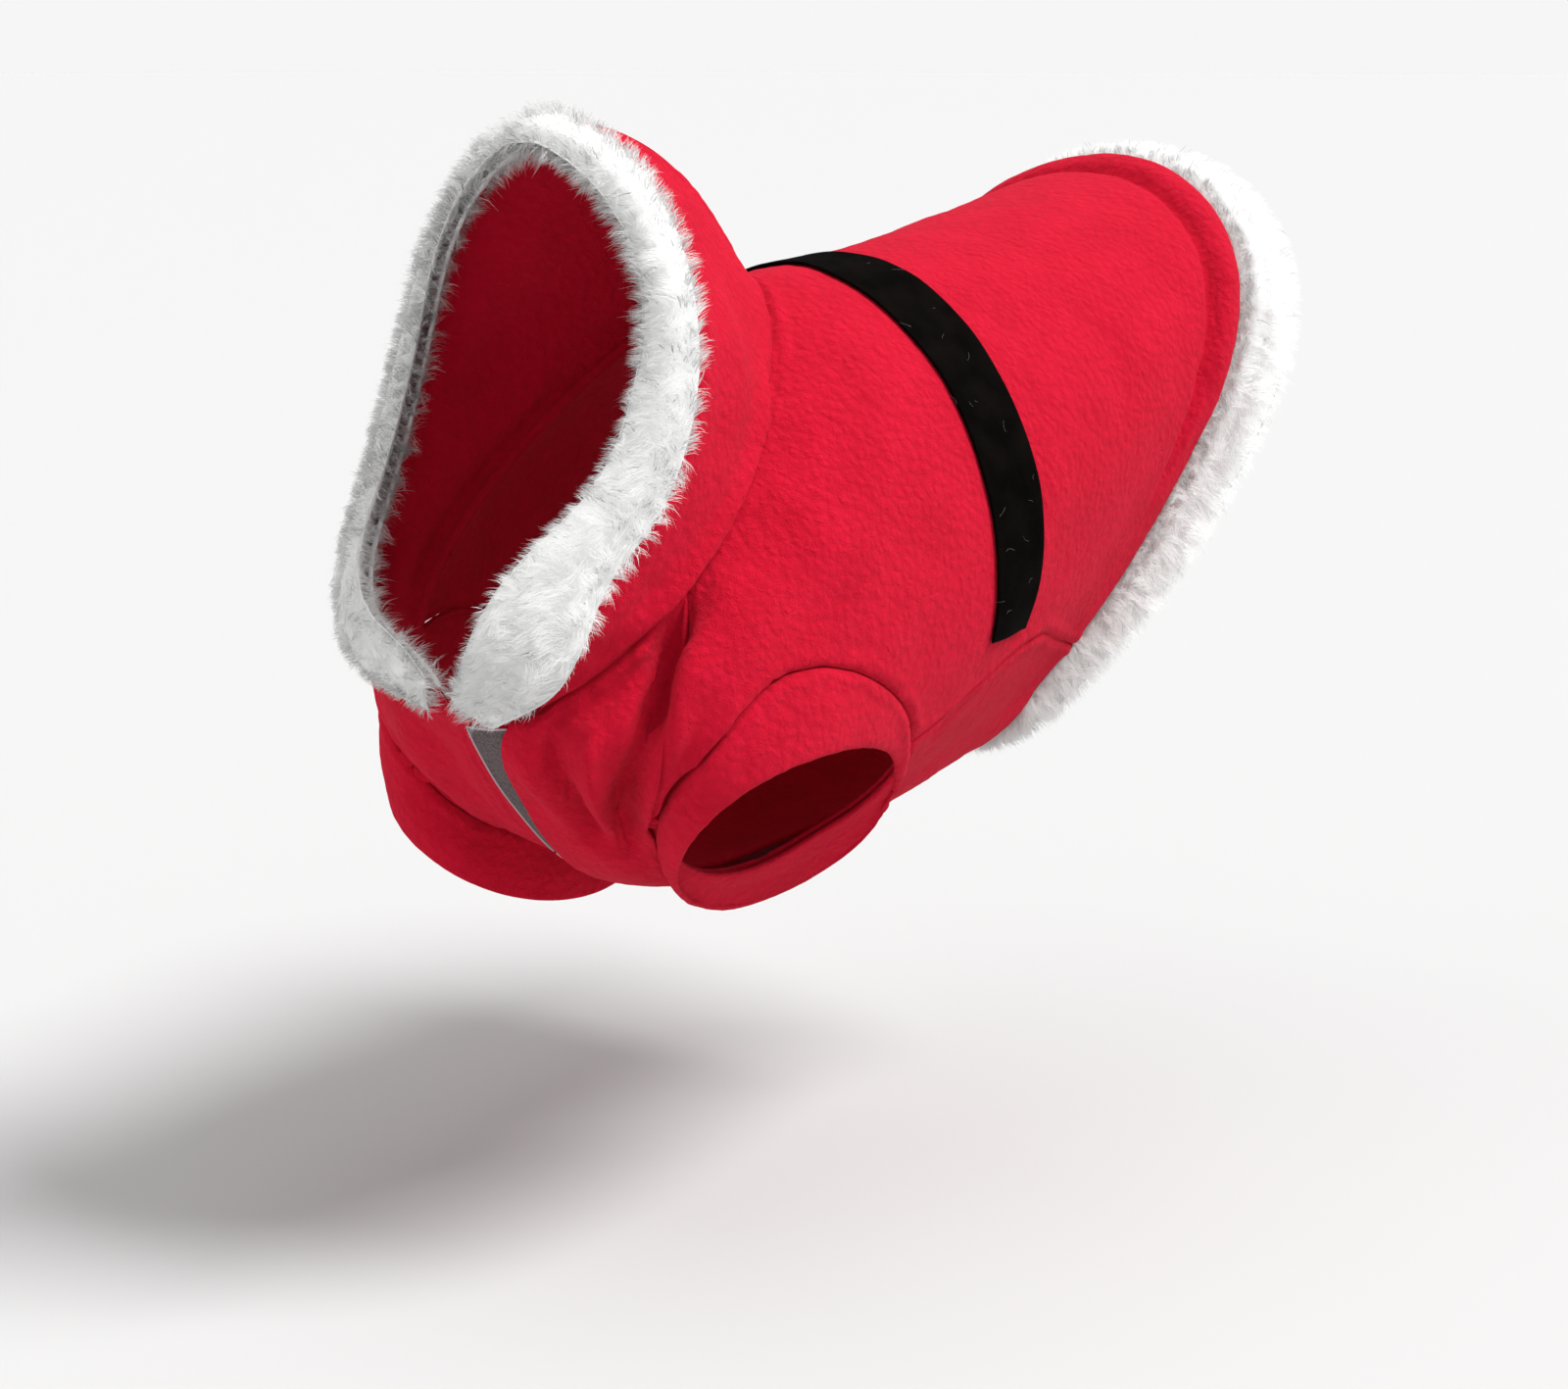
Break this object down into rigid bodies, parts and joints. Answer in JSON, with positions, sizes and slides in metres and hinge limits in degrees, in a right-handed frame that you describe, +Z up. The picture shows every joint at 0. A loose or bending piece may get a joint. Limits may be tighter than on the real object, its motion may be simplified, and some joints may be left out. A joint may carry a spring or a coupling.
{
  "type": "dog santa coat",
  "caption": "Hooded fleece coat for a small dog in its worn form: tapered body with leg sleeves, plush rims at hood and hem, a velvet belt over the back and a chest closure.",
  "frame": {"origin": "the middle of the back neck seam, where the coat hangs on the wearer's shoulders", "axes": "+Z up, the wearer faces -Y and its left side is +X; the spine runs back along +Y"},
  "size_m": [0.2107, 0.4541, 0.3109],
  "materials": {
    "fleece": "matt pebbly fleece nap",
    "plush": "long soft white pile",
    "black_velvet": "short dull velvet pile",
    "loop_tape": "fine woven loops"
  },
  "bodies": {
    "root": {"back_panel": "fleece", "front_left": "fleece", "front_right": "fleece", "sleeve_left": "fleece", "sleeve_right": "fleece", "hood_left": "fleece", "hood_right": "fleece", "hood_trim": "plush", "hem_trim": "plush", "belt": "black_velvet", "closure_tape": "loop_tape"}
  },
  "joints": []
}
